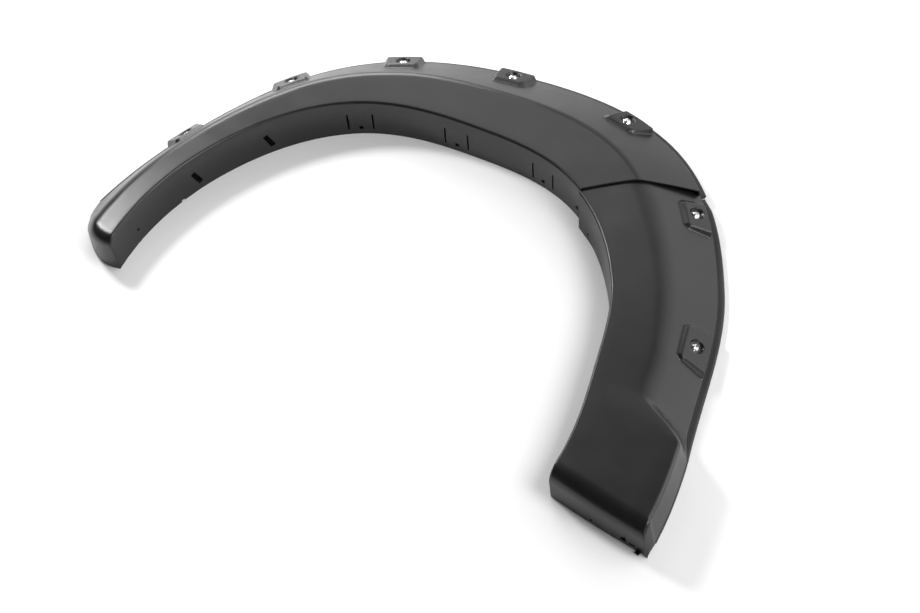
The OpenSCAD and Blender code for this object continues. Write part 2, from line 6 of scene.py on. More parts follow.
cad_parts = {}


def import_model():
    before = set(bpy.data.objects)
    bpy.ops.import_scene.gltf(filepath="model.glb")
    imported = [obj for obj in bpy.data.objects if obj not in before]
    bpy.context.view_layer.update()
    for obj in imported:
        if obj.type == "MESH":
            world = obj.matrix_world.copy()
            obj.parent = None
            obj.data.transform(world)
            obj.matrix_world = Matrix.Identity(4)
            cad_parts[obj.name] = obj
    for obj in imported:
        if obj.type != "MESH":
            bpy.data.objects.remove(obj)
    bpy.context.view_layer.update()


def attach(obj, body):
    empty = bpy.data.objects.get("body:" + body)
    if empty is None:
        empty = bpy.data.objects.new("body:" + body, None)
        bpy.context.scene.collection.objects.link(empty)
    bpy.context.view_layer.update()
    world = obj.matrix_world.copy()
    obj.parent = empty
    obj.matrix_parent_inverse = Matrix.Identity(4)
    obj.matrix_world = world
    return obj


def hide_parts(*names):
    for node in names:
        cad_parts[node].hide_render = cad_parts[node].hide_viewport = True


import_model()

# Sizes are in millimetres and angles in degrees, in the CAD model's own frame. Angles are
# measured at the wheel centre from the crown, plus toward the front of the car.
MM = 0.001

# Angle, lip radius, face width and the bend's share of the width, at each station
STATIONS = (
    (-100, 444, 101, 0.515), (-65, 416, 94, 0.515), (-32, 407, 131, 0.515),
    (0, 388, 171, 0.515), (30, 412, 194, 0.515), (60, 416, 171, 0.515),
    (85, 421, 166, 0.64), (106, 467, 186, 0.88))
MAX_BEND_SHARE = 0.88
REAR_END_A = -101.4
FRONT_END_A = 110.6

PANEL_T = 3
LIP_H = 75
BEND_DROP = 3
EDGE_H = 17
LIP_R = 5
BEND_R = 30
FRONT_BEND_R = 90
BEND_RUN_SHARE = 0.22
EDGE_R = 1.5
INNER_R = 0.6
WALL_LEAN = 7
FRONT_WALL_LEAN = 17
FRONT_LIP_IN = 2
RIM_DRAFT = 0.3
REAR_END_R = 20
FRONT_END_R = 27
REAR_SWEEP_A = 9
FRONT_SWEEP_A = 3
REAR_BOW = 2
ROLL_SHARE = 0.85

# Front foot: the bend draws in on the shin, then runs out to a steep side band
SHIN_FROM_A = 77.5
SHIN_BEND_IN = 0.07
FOOT_FROM_A = 87.3
FOOT_FULL_A = 92.6
FOOT_TOP_OUT = 4
FOOT_OUT = 10.5
FOOT_BEND_R = 7

SEAM_A = 33
SEAM_SLANT_A = 7.1
SEAM_GAP = 0.5
SEAM_LIFT = 8
LIFT_FROM_A = 26
WALL_SLANT_A = 2.7
LAP = 3.5
TONGUE_L = 26
SEAL_GAP = 6
# How far back from the seam each last ring of the main panel lies, and how far it is let in
SEAM_SOFTENING = ((1.3, 0), (0.7, 0.08), (0.3, 0.3), (0.08, 0.7), (0, 1.2))

MAIN_PADS = (-68, -44.4, -22.6, -1.4, 21.4)
FRONT_PADS = (44.6, 72.4)
PAD_HALF_L = 38
LAST_PAD_HALF_L = 46
PAD_REACH = 51
LAST_PAD_REACH = 60
PAD_RUN_SHARE = 0.74
PAD_CHAMFER = 9
PAD_CORNER = 8
PAD_IN_H = 6
PAD_OUT_H = 11
FRONT_PAD_OUT_H = 8
PAD_EDGE = 4.5
PAD_TAPER = 0.55
SCREW_SHARE = 0.45
SCREW_REACH = 0.82
RECESS_DEPTH = 5
RECESS_D = 26
RECESS_FLOOR_D = 21
CUP_T = 1.5

SCREW_D = 8
HEAD_D = 16
HEAD_H = 4.4
SOCKET_AF = 5
WASHER_T = 1.6
WASHER_D = 17
NUT_AF = 13
NUT_H = 6.5
THREAD_CLEAR = 0.3
BORE_CLEAR = 0.8
SCREW_TAIL = 2.5

SEAM_SCREW_D = 4
SEAM_SCREW_L = 11
SEAM_SCREW_BACK_A = 0.95
SEAM_SCREW_Z = 20
SEAM_HEAD_D = 8
SEAM_HEAD_H = 2.2
SEAM_HEAD_OUT = 0.45
SEAM_SOCKET_AF = 2.4
SEAM_NUT_AF = 7
SEAM_NUT_H = 3.2
SEAM_NUT_IN = 9.5
# Tab of the front panel behind the seam screw: where it starts and ends along the wall, how
# far in its two faces lie, and the leg that joins it to the wall
TAB_ALONG = (-12, 34)
TAB_IN = (3.3, 6.3)
TAB_LEG_L = 11
TAB_LEG_OUT = 5.8
TAB_HALF_H = 9

SEAL_H = 9
SEAL_OUT = 11
FOOT_SEAL_OUT = 12.5
SEAL_IN = 13
SEAL_TAPER = 4
SEAL_STEP = 4
SEAL_MEAN_R = 580
BEAD_W = 4
BEAD_RISE = 4.1
BEAD_STEPS = 12
GRIP_GAP = 0.3
GRIP_H = 2
GRIP_W = 2.5
FLARE_A = (88, 93)
TAPER_A = 3

SLOT_W = 3
SLOT_L = 35
SLOT_Z = 11
CLIP_ANGLES = [-5.5 + 25.4 * i for i in (-1, 0, 1)]
CLIP_HALF_L = 22
CLIP_HOLE_W = 6.5
SINGLE_SLOTS = (-73.4, -53.7)
SINGLE_SLOT_W = 9
SINGLE_SLOT_L = 30
SINGLE_SLOT_TILT = 22
FIX_HOLE_D = 5
REAR_FIX = (-92.4, 27)
FRONT_FIX = (39.6, 12)
NOTCH_A = -78.4
NOTCH_W = 7
FOOT_HOLE_U = 84
FOOT_SLOTS_U = (150, 168)
FOOT_SLOT_SIZE = (12, 4)
FOOT_CUT_Z = 10
FOOT_TAB_U = 180
FOOT_TAB_SIZE = (8, 2.5, 7)
FOOT_TAB_SINK = 1

RING_STEP = 3.0
END_STEPS = 9
LAST_STOP = 1.1
FILLET_STEPS = 8


# Smooth curves through the stations

def station(i, column):
    return STATIONS[i][0], STATIONS[i][column]


def slope(i, column):
    (x0, y0), (x1, y1) = station(i, column), station(i + 1, column)
    return (y1 - y0) / (x1 - x0)


def inner_tangent(i, column):
    back = STATIONS[i][0] - STATIONS[i - 1][0]
    ahead = STATIONS[i + 1][0] - STATIONS[i][0]
    return (slope(i - 1, column) * ahead + slope(i, column) * back) / (back + ahead)


def tangent(i, column):
    last = len(STATIONS) - 1
    if i == 0:
        return 1.5 * slope(0, column) - 0.5 * inner_tangent(1, column)
    if i == last:
        return 1.5 * slope(last - 1, column) - 0.5 * inner_tangent(last - 1, column)
    return inner_tangent(i, column)


TANGENTS = [[0] + [tangent(i, c) for c in (1, 2, 3)] for i in range(len(STATIONS))]


def loft(a, column):
    i = 0
    while i < len(STATIONS) - 2 and a >= STATIONS[i + 1][0]:
        i += 1
    (x0, y0), (x1, y1) = station(i, column), station(i + 1, column)
    h = x1 - x0
    t = (a - x0) / h
    t2, t3 = t * t, t * t * t
    return ((2 * t3 - 3 * t2 + 1) * y0 + (t3 - 2 * t2 + t) * h * TANGENTS[i][column]
            + (3 * t2 - 2 * t3) * y1 + (t3 - t2) * h * TANGENTS[i + 1][column])


def lip_r(a):
    return loft(a, 1)


def face_w(a):
    return loft(a, 2)


def bend_at(a):
    return min(MAX_BEND_SHARE, loft(a, 3))


def arc_a(length, r):
    return math.degrees(length / r)


def place(a, u, z):
    r, t = lip_r(a) + u, math.radians(a)
    return Vector((r * math.sin(t), r * math.cos(t), z))


# Plane geometry of the section

def left_of(p, q):
    d = (q - p).normalized()
    return Vector((-d.y, d.x))


def inset(a, b, c, t):
    n, m = left_of(a, b), left_of(b, c)
    return b - (n + m) * (t / (1 + n.dot(m)))


def fillet(a, b, c, r, steps):
    d, e = (a - b).normalized(), (c - b).normalized()
    half = math.acos(max(-1, min(1, d.dot(e)))) / 2
    centre = b + (d + e).normalized() * (r / math.sin(half))
    v = b + d * (r / math.tan(half)) - centre
    w = b + e * (r / math.tan(half)) - centre
    turn = math.pi - 2 * half
    return [centre + (v * math.sin((1 - k / steps) * turn) + w * math.sin(k / steps * turn))
            / math.sin(turn) for k in range(steps + 1)]


SEAM_EDGE_A = SEAM_A + SEAM_SLANT_A
FRONT_DROP = LAP / math.cos(math.atan2(
    LIP_H - BEND_DROP - EDGE_H, face_w(SEAM_EDGE_A) * (1 - bend_at(SEAM_EDGE_A))))


def clamped(t):
    return max(0, min(1, t))


def eased(t):
    t = clamped(t)
    return t * t * (3 - 2 * t)


def foot_share(a):
    """0 up the front leg, 1 at the foot, whose face runs out full height to a steep side."""
    return eased((a - FOOT_FROM_A) / (FOOT_FULL_A - FOOT_FROM_A))


def front_lean(a):
    share = max(0, (FRONT_END_A - a) / (FRONT_END_A - SEAM_EDGE_A))
    return FRONT_LIP_IN + (FRONT_WALL_LEAN - FRONT_LIP_IN) * share ** 2


def outer_corners(a, front):
    w = face_w(a)
    b = bend_at(a) * w
    rim = Vector((w + RIM_DRAFT, SEAL_H))
    if front:
        b -= SHIN_BEND_IN * w * eased((a - SHIN_FROM_A) / (FOOT_FROM_A - SHIN_FROM_A))
        b += (w + FOOT_TOP_OUT - b) * foot_share(a)
        out = FOOT_OUT * foot_share(a)
        return [Vector((-front_lean(a), 0)), Vector((-FRONT_LIP_IN, LIP_H - FRONT_DROP)),
                Vector((b, LIP_H - BEND_DROP - FRONT_DROP)),
                Vector((w + out, EDGE_H - FRONT_DROP)), rim + Vector((out, 0))]
    lift = SEAM_LIFT * eased((a - LIFT_FROM_A) / (SEAM_EDGE_A - LIFT_FROM_A))
    return [Vector((-WALL_LEAN, 0)), Vector((0, LIP_H)), Vector((b, LIP_H - BEND_DROP)),
            Vector((w, EDGE_H + lift)), rim]


def inset_corners(c, depth):
    if not depth:
        return c
    n = left_of(c[0], c[1])
    return [Vector((c[0].x - depth / n.x, 0)), inset(c[0], c[1], c[2], depth),
            inset(c[1], c[2], c[3], depth), inset(c[2], c[3], c[4], depth),
            c[4] - Vector((depth, 0))]


# Screw pads: a ring holds how far along a pad it lies, x, and y is the distance from the edge

def reach_at(a, length):
    share = clamped((a - FRONT_PADS[0]) / (FRONT_PADS[1] - FRONT_PADS[0]))
    return min(PAD_REACH + (LAST_PAD_REACH - PAD_REACH) * share, PAD_RUN_SHARE * length)


def half_l_at(a):
    return PAD_HALF_L if a < (FRONT_PADS[0] + FRONT_PADS[1]) / 2 else LAST_PAD_HALF_L


def soft_step(t):
    t = clamped(t)
    return 0.35 * t + 0.65 * t * t * (3 - 2 * t)


def pad_lift(x, y, reach, half_l, front):
    out_h = FRONT_PAD_OUT_H if front else PAD_OUT_H
    along, into = (half_l - abs(x)) / PAD_CHAMFER, (reach - y) / PAD_CHAMFER
    corner = (along + into) / 1.5 - PAD_CORNER / PAD_CHAMFER / 1.5
    out = soft_step((y - LAST_STOP) / PAD_EDGE)
    grow = (reach - PAD_CHAMFER - y) / (reach - PAD_CHAMFER - PAD_EDGE)
    rise = soft_step(min(along, into, corner))
    return rise * out * (PAD_IN_H + (out_h - PAD_IN_H) * clamped(grow))


def slope_stops(reach):
    stops = [reach + 2 - 2 * k for k in range(14)]
    low = PAD_EDGE + 3
    stops += [stops[-1] + (low - stops[-1]) * k / 5 for k in range(1, 6)]
    return stops + [low + (LAST_STOP - low) * k / 8 for k in range(1, 9)]


def bend_r(c, a, front):
    """Radius that fits the bend, so that its arc keeps clear of the pads."""
    turn = (c[2] - c[1]).angle(c[3] - c[2])
    front_r = FRONT_BEND_R + (FOOT_BEND_R - FRONT_BEND_R) * foot_share(a)
    return min(front_r if front else BEND_R,
               BEND_RUN_SHARE * (c[3] - c[2]).length / math.tan(turn / 2))


def section(a, front, x, depth):
    """One skin's points from the wall's foot to the rim, depth below the outer skin."""
    c = inset_corners(outer_corners(a, front), depth)
    lip = max(LIP_R - depth, INNER_R) + (INNER_R if depth >= PANEL_T else 0)
    edge = max(EDGE_R - depth, INNER_R)
    n, d = left_of(c[2], c[3]), (c[2] - c[3]).normalized()
    reach = reach_at(a, (c[3] - c[2]).length)
    side = [c[3] + d * y + n * pad_lift(x, y, reach, half_l_at(a), front)
            for y in slope_stops(reach)]
    lip_arc = fillet(c[0], c[1], c[2], lip, FILLET_STEPS)
    bend_arc = fillet(c[1], c[2], c[3], bend_r(c, a, front) - depth, FILLET_STEPS)
    wall = [c[0].lerp(lip_arc[0], k / 4) for k in range(4)]
    face = [lip_arc[-1].lerp(bend_arc[0], k / 6) for k in range(1, 6)]
    return (wall + lip_arc + face + bend_arc + side
            + fillet(c[2], c[3], c[4], edge, 3) + [c[4]])


# Rings: angle at the lip, angle at the edge, x along a pad, end phase, bow, skin depth

def ring_a(ring, u, w):
    return ring[0] + (ring[1] - ring[0]) * clamped(u / w) ** ring[4]


def stretch(ring, u, w):
    share = clamped(u / w) ** (ring[4] - 1)
    rise = ring[4] * math.radians(ring[1] - ring[0]) * (lip_r(ring[1]) + u) / w * share
    return math.hypot(1, rise)


def ring_point(ring, p, w, way, end_r, back):
    a = ring_a(ring, p.x, w)
    if ring[3] < 0:
        return place(a, p.x, p.y)
    beta = math.radians(90 * min(1, ring[3]))
    roll = min(end_r, ROLL_SHARE * p.y)
    s = (end_r * (1 - math.sin(beta)) + back) * stretch(ring, p.x, w)
    z = 0 if ring[3] > 1 else p.y - roll * (1 - math.cos(beta))
    return place(a - way * arc_a(s, lip_r(a) + p.x), p.x, z)


FAR = 2 * LAST_PAD_HALF_L


def pad_rings(a, slant):
    r, half_l = lip_r(a) + face_w(a), half_l_at(a)
    lip, edge = a - slant * SCREW_REACH, a + slant * (1 - SCREW_REACH)
    rings = []
    for x in (-half_l, PAD_CHAMFER - half_l, 0, half_l - PAD_CHAMFER, half_l):
        k = arc_a(x, r)
        rings.append((lip + k * PAD_TAPER, edge + k, x, -1, 1))
    return rings


def main_slant(a):
    return SEAM_SLANT_A * max(0, (a - MAIN_PADS[3]) / (SEAM_A - MAIN_PADS[3]))


def front_slant(a):
    share = (a - SEAM_A) / (FRONT_END_A - SEAM_A)
    return SEAM_SLANT_A - (SEAM_SLANT_A + FRONT_SWEEP_A) * share


def roll_start(lip_a, edge_a, way, end_r, bow):
    w = face_w(edge_a)
    length = end_r * stretch((lip_a, edge_a, 0, 0, bow), w, w)
    return (lip_a - way * arc_a(end_r, lip_r(lip_a)),
            edge_a - way * arc_a(length, lip_r(edge_a) + w), FAR, -1, bow)


def roll_rings(lip_a, edge_a, bow):
    phases = [0.97 * k / END_STEPS for k in range(1, END_STEPS + 1)] + [2]
    return [(lip_a, edge_a, FAR, phase, bow) for phase in phases]


def between(coarse):
    """Rings a few millimetres apart between the given ones."""
    rings = []
    for g, h in zip(coarse, coarse[1:]):
        apart = math.radians(h[1] - g[1]) * (lip_r(g[1]) + face_w(g[1]))
        on_pad = g[2] < min(half_l_at(g[1]), FAR) and abs(h[2]) < FAR and h[2] > g[2]
        steps = max(1, math.ceil(apart / (RING_STEP * (0.6 if on_pad else 1))))
        for k in range(steps):
            t = k / steps
            ring = tuple(p + (q - p) * t for p, q in zip(g, h))
            rings.append(ring if on_pad or k == 0 else ring[:2] + (FAR,) + ring[3:])
    return rings + [coarse[-1]]


def grid_faces(n, m):
    """Faces of a shell whose outer and inner skins are n rings of m points each."""
    def o(i, j):
        return i * m + j

    def q(i, j):
        return n * m + i * m + j

    faces = []
    for i in range(n - 1):
        for j in range(m - 1):
            faces.append((o(i, j), o(i, j + 1), o(i + 1, j + 1), o(i + 1, j)))
            faces.append((q(i, j), q(i + 1, j), q(i + 1, j + 1), q(i, j + 1)))
        faces.append((o(i, 0), o(i + 1, 0), q(i + 1, 0), q(i, 0)))
        faces.append((o(i, m - 1), q(i, m - 1), q(i + 1, m - 1), o(i + 1, m - 1)))
    for j in range(m - 1):
        faces.append((o(0, j), q(0, j), q(0, j + 1), o(0, j + 1)))
        faces.append((o(n - 1, j), o(n - 1, j + 1), q(n - 1, j + 1), q(n - 1, j)))
    return faces


def mesh_object(name, points, faces):
    mesh = bpy.data.meshes.new(name)
    mesh.from_pydata([p * MM for p in points], [], faces)
    mesh.validate()
    piece = bpy.data.objects.new(name, mesh)
    bpy.context.scene.collection.objects.link(piece)
    return piece


def skin_points(rings, depths, front, way, end_r):
    points = []
    for ring, depth in zip(rings, depths):
        w = face_w(ring[1])
        back = depth if ring[3] >= 0 else 0
        points += [ring_point(ring, p, w, way, end_r - back, back)
                   for p in section(ring[1], front, ring[2], depth)]
    return points


def shell(name, rings, softened, front, way, end_r):
    """A closed shell. The first or last rings of the outer skin may be let in, for a soft edge."""
    outer = skin_points(rings, softened, front, way, end_r)
    inner = skin_points(rings, [PANEL_T] * len(rings), front, way, end_r)
    return mesh_object(name, outer + inner, grid_faces(len(rings), len(outer) // len(rings)))


# Places of the fasteners and cut-outs

def turned(point, a, tilt):
    return (Matrix.Translation(point) @ Matrix.Rotation(math.radians(-a), 4, "Z")
            @ Matrix.Rotation(math.radians(tilt), 4, "X"))


def at_pad(a, front):
    c = outer_corners(a, front)
    length = (c[3] - c[2]).length
    d, n = (c[2] - c[3]).normalized(), left_of(c[2], c[3])
    high = c[3] + d * (reach_at(a, length) - PAD_CHAMFER) + n * PAD_IN_H
    low = c[3] + d * PAD_EDGE + n * (FRONT_PAD_OUT_H if front else PAD_OUT_H)
    up = left_of(high, low)
    seat = high.lerp(low, SCREW_SHARE)
    return turned(place(a, seat.x, seat.y), a, -math.degrees(math.atan2(up.x, up.y)))


def lip_turn(a):
    """Angle between the lip's normal and the ray from the wheel centre."""
    return math.degrees(math.atan2(lip_r(a + 0.5) - lip_r(a - 0.5), math.radians(lip_r(a))))


def at_wall(a, z, lean):
    tilt = 90 - math.degrees(math.atan2(lean, LIP_H))
    return turned(place(a, -lean * (1 - z / LIP_H), z), a - lip_turn(a), tilt)


def at_foot(u, z):
    a = FRONT_END_A - FRONT_SWEEP_A * u / face_w(FRONT_END_A - FRONT_SWEEP_A)
    return turned(place(a, u, z), a, 0) @ Matrix.Rotation(math.pi / 2, 4, "Y") \
        @ Matrix.Rotation(math.pi / 2, 4, "Z")


# Building blocks, each a list of points and a list of faces

def round_point(r, share, z):
    return Vector((r * math.cos(2 * math.pi * share), r * math.sin(2 * math.pi * share), z))


def lathe(profile, steps=48):
    """A closed solid turned about z from (radius, height) pairs, bottom to top."""
    rows = [p for p in profile if p[0] > 0]
    points = [round_point(r, k / steps, z) for r, z in rows for k in range(steps)]
    faces = [(i * steps + k, i * steps + (k + 1) % steps, (i + 1) * steps + (k + 1) % steps,
              (i + 1) * steps + k) for i in range(len(rows) - 1) for k in range(steps)]
    faces.append(tuple(reversed(range(steps))))
    faces.append(tuple((len(rows) - 1) * steps + k for k in range(steps)))
    return points, faces


def tube(profile, steps=48):
    """A ring turned about z from a closed loop of (radius, height) pairs."""
    m = len(profile)
    points = [round_point(r, k / steps, z) for k in range(steps) for r, z in profile]
    faces = [(k * m + i, ((k + 1) % steps) * m + i, ((k + 1) % steps) * m + (i + 1) % m,
              k * m + (i + 1) % m) for k in range(steps) for i in range(m)]
    return points, faces


def block(low, high):
    points = [Vector((x, y, z)) for z in (low[2], high[2])
              for x, y in ((low[0], low[1]), (high[0], low[1]), (high[0], high[1]),
                           (low[0], high[1]))]
    return points, [(3, 2, 1, 0), (4, 5, 6, 7), (0, 1, 5, 4), (1, 2, 6, 5), (2, 3, 7, 6),
                    (3, 0, 4, 7)]


def prism(outline, low, high):
    """A plan outline, given counter-clockwise, drawn up from low to high."""
    m = len(outline)
    points = [Vector((p[0], p[1], z)) for z in (low, high) for p in outline]
    sides = [(k, (k + 1) % m, m + (k + 1) % m, m + k) for k in range(m)]
    return points, [tuple(reversed(range(m))), tuple(range(m, 2 * m))] + sides


def gathered(name, placed):
    """One object from (building block, matrix) pairs."""
    points, faces = [], []
    for (block_points, block_faces), matrix in placed:
        base = len(points)
        points += [matrix @ p for p in block_points]
        faces += [tuple(base + k for k in face) for face in block_faces]
    return mesh_object(name, points, faces)


def combine(piece, other, operation):
    tool = piece.modifiers.new(operation.lower(), "BOOLEAN")
    tool.operation = operation
    tool.solver = "MANIFOLD"
    tool.object = other
    bpy.context.view_layer.update()
    applied = bpy.data.meshes.new_from_object(
        piece.evaluated_get(bpy.context.evaluated_depsgraph_get()))
    piece.modifiers.clear()
    piece.data = applied
    bpy.data.objects.remove(other)


def shade(piece, angle=30):
    piece.data.shade_smooth()
    piece.data.set_sharp_from_angle(angle=math.radians(angle))


# Materials

def tree_of(name):
    material = bpy.data.materials.new(name)
    material.use_nodes = True
    nodes, links = material.node_tree.nodes, material.node_tree.links
    return material, nodes, links, nodes["Principled BSDF"]


def noise(nodes, links, source, scale, detail=3):
    texture = nodes.new("ShaderNodeTexNoise")
    texture.inputs["Scale"].default_value = scale
    texture.inputs["Detail"].default_value = detail
    links.new(source.outputs["Object"], texture.inputs["Vector"])
    return texture.outputs["Fac"]


def ranged(nodes, links, value, low, high):
    span = nodes.new("ShaderNodeMapRange")
    span.inputs["From Min"].default_value = 0.3
    span.inputs["From Max"].default_value = 0.7
    span.inputs["To Min"].default_value = low
    span.inputs["To Max"].default_value = high
    links.new(value, span.inputs["Value"])
    return span.outputs["Result"]


def tinted(nodes, links, value, dark, light):
    ramp = nodes.new("ShaderNodeValToRGB")
    ramp.color_ramp.elements[0].position = 0.3
    ramp.color_ramp.elements[0].color = (*dark, 1)
    ramp.color_ramp.elements[1].position = 0.7
    ramp.color_ramp.elements[1].color = (*light, 1)
    links.new(value, ramp.inputs["Fac"])
    return ramp.outputs["Color"]


def bumped(nodes, links, shader, value, strength, distance):
    bump = nodes.new("ShaderNodeBump")
    bump.inputs["Strength"].default_value = strength
    bump.inputs["Distance"].default_value = distance
    links.new(value, bump.inputs["Height"])
    links.new(bump.outputs["Normal"], shader.inputs["Normal"])


def grained(name, dark, light, rough, grain, strength, specular=0.5):
    """A moulded surface: mottled colour and gloss, and a fine grain."""
    material, nodes, links, shader = tree_of(name)
    source = nodes.new("ShaderNodeTexCoord")
    links.new(tinted(nodes, links, noise(nodes, links, source, 9), dark, light),
              shader.inputs["Base Color"])
    links.new(ranged(nodes, links, noise(nodes, links, source, 23), *rough),
              shader.inputs["Roughness"])
    bumped(nodes, links, shader, noise(nodes, links, source, grain, 2), strength, 0.0002)
    shader.inputs["Specular IOR Level"].default_value = specular
    return material


def metal(name, dark, light, rough):
    material, nodes, links, shader = tree_of(name)
    source = nodes.new("ShaderNodeTexCoord")
    shader.inputs["Metallic"].default_value = 1
    links.new(tinted(nodes, links, noise(nodes, links, source, 90), dark, light),
              shader.inputs["Base Color"])
    links.new(ranged(nodes, links, noise(nodes, links, source, 400), *rough),
              shader.inputs["Roughness"])
    bumped(nodes, links, shader, noise(nodes, links, source, 1500, 2), 0.15, 0.0001)
    return material


plastic = grained("satin_plastic", (0.005, 0.005, 0.0052), (0.008, 0.008, 0.0082),
                  (0.3, 0.36), 1400, 0.1)
rubber = grained("seal_rubber", (0.016, 0.016, 0.016), (0.024, 0.024, 0.024),
                 (0.6, 0.72), 900, 0.3)
stainless = metal("stainless_steel", (0.7, 0.7, 0.71), (0.82, 0.82, 0.83), (0.16, 0.3))
zinc = metal("zinc_plate", (0.5, 0.51, 0.53), (0.66, 0.67, 0.68), (0.28, 0.42))
black_zinc = metal("black_zinc", (0.05, 0.05, 0.05), (0.09, 0.09, 0.09), (0.3, 0.45))


def finish_piece(piece, nodes, material, angle=30):
    shade(piece, angle)
    piece.data.materials.clear()
    piece.data.materials.append(material)
    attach(piece, "root")
    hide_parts(*nodes)
    return piece


# Cutters and additions of both panels

def recess():
    """Tapered seat of a screw with a soft mouth, and the hole in its floor."""
    floor, mouth = RECESS_FLOOR_D / 2, RECESS_D / 2
    profile = [(floor - 1, -RECESS_DEPTH), (floor - 0.3, 0.3 - RECESS_DEPTH),
               (floor, 1 - RECESS_DEPTH), (mouth - 0.5, -1.6), (mouth, -0.8),
               (mouth + 0.7, -0.2), (mouth + 1.8, 0.15), (mouth + 3, 0.3), (mouth + 3, 3)]
    return lathe(profile, 64)


def hole(d, half):
    return lathe([(d / 2, -half), (d / 2, half)], 32)


def slot_block(w, length, half):
    return block((-w / 2, -length / 2, -half), (w / 2, length / 2, half))


# A lathe on a pad is turned a little, so that none of its points falls on the
# shell's ring through the middle of the pad
OFF_RING = Matrix.Rotation(math.radians(1.3), 4, "Z")


def pad_cups(pads, front):
    r = RECESS_D / 2 + CUP_T
    cup = lathe([(r - 0.6, -RECESS_DEPTH - PANEL_T), (r, 0.6 - RECESS_DEPTH - PANEL_T),
                 (r, -1.2)], 64)
    return [(cup, at_pad(a, front) @ OFF_RING) for a in pads]


def pad_cuts(pads, front):
    bore = hole(SCREW_D + BORE_CLEAR, RECESS_DEPTH + 2 * PANEL_T)
    seats = [at_pad(a, front) @ OFF_RING for a in pads]
    return [(recess(), at) for at in seats], [(bore, at) for at in seats]


def at_seam_screw():
    return at_wall(SEAM_SCREW_A, SEAM_SCREW_Z, WALL_LEAN)


def main_cuts():
    cuts = []
    deep = 2 * PANEL_T
    for a in CLIP_ANGLES:
        for side in (-1, 1):
            at = at_wall(a + side * arc_a(CLIP_HALF_L, lip_r(a)), SLOT_Z + SLOT_L / 2, WALL_LEAN)
            cuts.append((slot_block(SLOT_W, SLOT_L, deep), at))
        at = at_wall(a, SLOT_Z + CLIP_HOLE_W / 2, WALL_LEAN)
        cuts.append((slot_block(CLIP_HOLE_W, CLIP_HOLE_W, deep), at))
    tilt = Matrix.Rotation(math.radians(SINGLE_SLOT_TILT), 4, "Z")
    for a in SINGLE_SLOTS:
        at = at_wall(a, SLOT_Z + SLOT_L / 2, WALL_LEAN) @ tilt
        cuts.append((slot_block(SINGLE_SLOT_W, SINGLE_SLOT_L, deep), at))
    cuts.append((hole(FIX_HOLE_D, deep), at_wall(*REAR_FIX, WALL_LEAN)))
    cuts.append((hole(SEAM_SCREW_D + THREAD_CLEAR, deep), at_seam_screw()))
    cuts.append((slot_block(NOTCH_W, NOTCH_W, deep), at_wall(NOTCH_A, 0, WALL_LEAN)))
    return cuts


SEAM_SCREW_A = SEAM_A - SEAM_SCREW_BACK_A


def main_panel():
    rear_edge_a = REAR_END_A + REAR_SWEEP_A
    coarse = [roll_start(REAR_END_A, rear_edge_a, -1, REAR_END_R, REAR_BOW)]
    for a in MAIN_PADS:
        coarse += pad_rings(a, main_slant(a))
    coarse.append((SEAM_A, SEAM_A + SEAM_SLANT_A, FAR, -1, 1))
    rolled = list(reversed(roll_rings(REAR_END_A, rear_edge_a, REAR_BOW)))
    body = between(coarse)
    depths = [0] * (len(rolled) + len(body) - 1)
    last = body.pop()
    for back, depth in SEAM_SOFTENING:
        body.append((last[0] - arc_a(back, lip_r(last[0])),
                     last[1] - arc_a(back, lip_r(last[1]) + face_w(last[1]))) + last[2:])
        depths.append(depth)
    piece = shell("main_arch_moulding", rolled + body, depths, False, -1, REAR_END_R)
    combine(piece, gathered("cups", pad_cups(MAIN_PADS, False)), "UNION")
    seats, bores = pad_cuts(MAIN_PADS, False)
    combine(piece, gathered("seats", seats), "DIFFERENCE")
    combine(piece, gathered("cuts", bores + main_cuts()), "DIFFERENCE")
    return finish_piece(piece, ["main_arch_panel"], plastic)


def seam_point(u, back):
    if u < 0:
        a = SEAM_A - WALL_SLANT_A * u / FRONT_WALL_LEAN
    else:
        a = SEAM_A + SEAM_SLANT_A * min(1, u / face_w(SEAM_EDGE_A))
    return place(a + arc_a(SEAM_GAP, lip_r(a) + u) - back, u, 0)


def tongue_cuts():
    w = face_w(SEAM_EDGE_A)
    into, past, back = 8, 40, 9
    cuts = []
    for start, turn, end in ((-past, 0, into), (w - into, w, w + past)):
        outline = [seam_point(start, 0), seam_point(turn, 0), seam_point(end, 0),
                   seam_point(end, back), seam_point(start, back)]
        cuts.append((prism(outline, -40, 110), Matrix()))
    return cuts


def seam_tab():
    start, end = TAB_ALONG
    near, far = TAB_IN
    points, faces = prism([(start, -far), (end, -far), (end, TAB_LEG_OUT),
                           (end - TAB_LEG_L, TAB_LEG_OUT), (end - TAB_LEG_L, -near),
                           (start, -near)], -TAB_HALF_H, TAB_HALF_H)
    upright = Matrix.Rotation(math.pi / 2, 4, "X")
    return [upright @ p for p in points], faces


def foot_tab():
    w, depth, h = FOOT_TAB_SIZE
    return block((-w / 2, 0, -FOOT_TAB_SINK), (w / 2, depth, h - FOOT_TAB_SINK))


